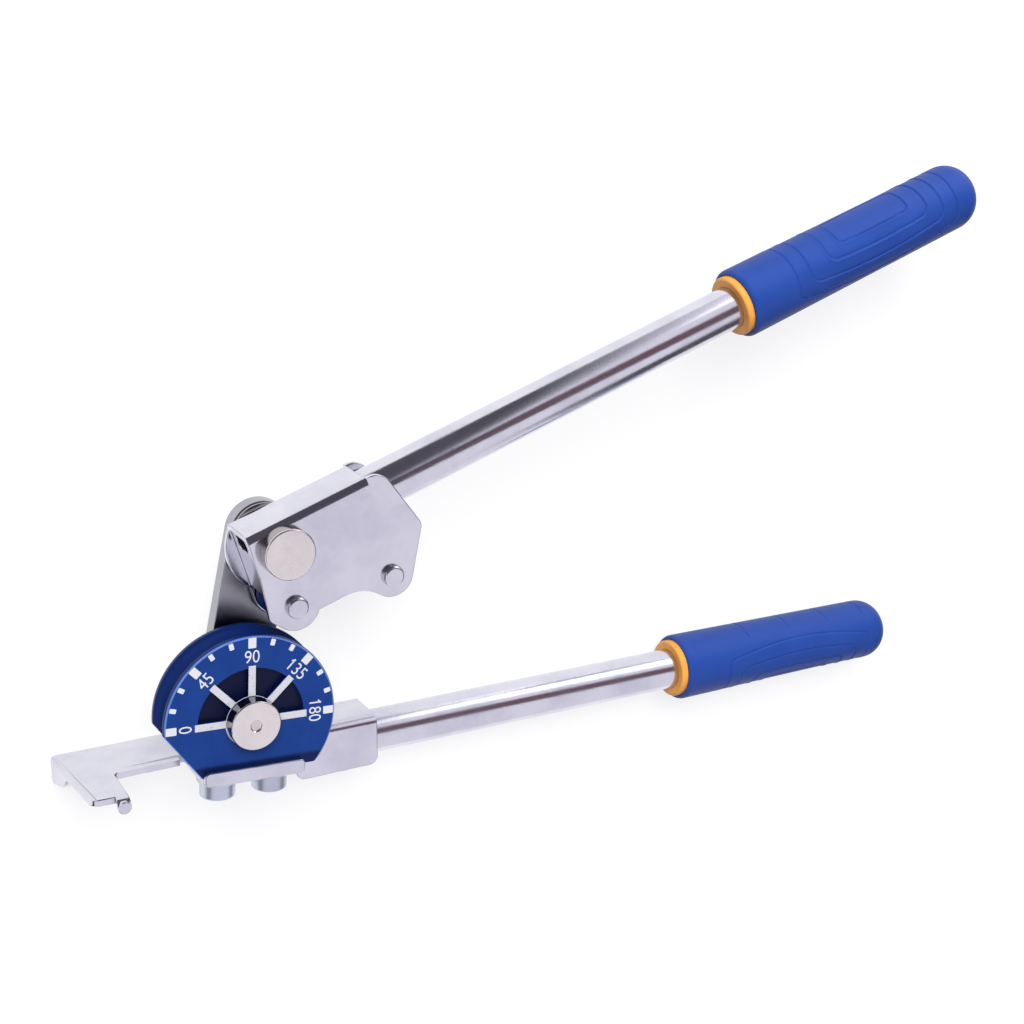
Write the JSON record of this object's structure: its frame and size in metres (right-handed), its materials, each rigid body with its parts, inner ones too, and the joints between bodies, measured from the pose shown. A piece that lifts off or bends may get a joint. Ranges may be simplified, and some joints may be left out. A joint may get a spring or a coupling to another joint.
{
  "type": "tube bender",
  "caption": "Hand lever tube bender: a grooved form wheel with a degree dial on a fixed handle, and a roller lever that swings round it on a link to bend thin metal tube.",
  "frame": {"origin": "centre of the form wheel, on its axis and halfway through its thickness", "axes": "+X along the fixed handle towards its grip, +Z along the pivots towards the dial; the tool lies on its back"},
  "size_m": [0.4517, 0.267, 0.0697],
  "materials": {
    "plated_sheet": "satin",
    "plated_tube": "bright",
    "bare_steel": "satin",
    "spring_steel": "dark",
    "blue_alloy": "anodised satin",
    "orange_plastic": "satin",
    "blue_rubber": "matte"
  },
  "bodies": {
    "base": {"body_channel": "plated_sheet", "wheel_cradle": "plated_sheet", "form_wheel": "blue_alloy", "wheel_screws": "bare_steel", "pivot_pin": "bare_steel", "pivot_spacer": "bare_steel", "pivot_clip": "spring_steel", "lower_tube": "plated_tube", "lower_sleeve": "orange_plastic", "lower_grip": "blue_rubber"},
    "link": {"link_plate": "bare_steel", "lever_pin": "bare_steel", "lever_washer": "bare_steel", "lever_clip": "spring_steel"},
    "lever": {"lever_bracket": "plated_sheet", "front_roller_pin": "bare_steel", "rear_roller_pin": "bare_steel", "front_washers": "bare_steel", "rear_washers": "bare_steel", "upper_tube": "plated_tube", "upper_sleeve": "orange_plastic", "upper_grip": "blue_rubber"},
    "roller_front": {"front_roller": "blue_alloy"},
    "roller_rear": {"rear_roller": "blue_alloy"}
  },
  "joints": [
    {"name": "link_swing", "type": "hinge", "parent": "base", "child": "link", "pos_m": [0, 0, 0], "axis": [0, 0, -1], "range_deg": [-99.5, 80.5]},
    {"name": "lever_swing", "type": "hinge", "parent": "link", "child": "lever", "pos_m": [0.01619, 0.07241, 0], "axis": [0, 0, -1], "range_deg": [-90, 38]},
    {"name": "front_roller_spin", "type": "hinge", "parent": "lever", "child": "roller_front", "pos_m": [0.02014, 0.04773, 0], "axis": [0, 0, 1], "continuous": true},
    {"name": "rear_roller_spin", "type": "hinge", "parent": "lever", "child": "roller_rear", "pos_m": [0.06319, 0.05462, 0], "axis": [0, 0, 1], "continuous": true}
  ]
}
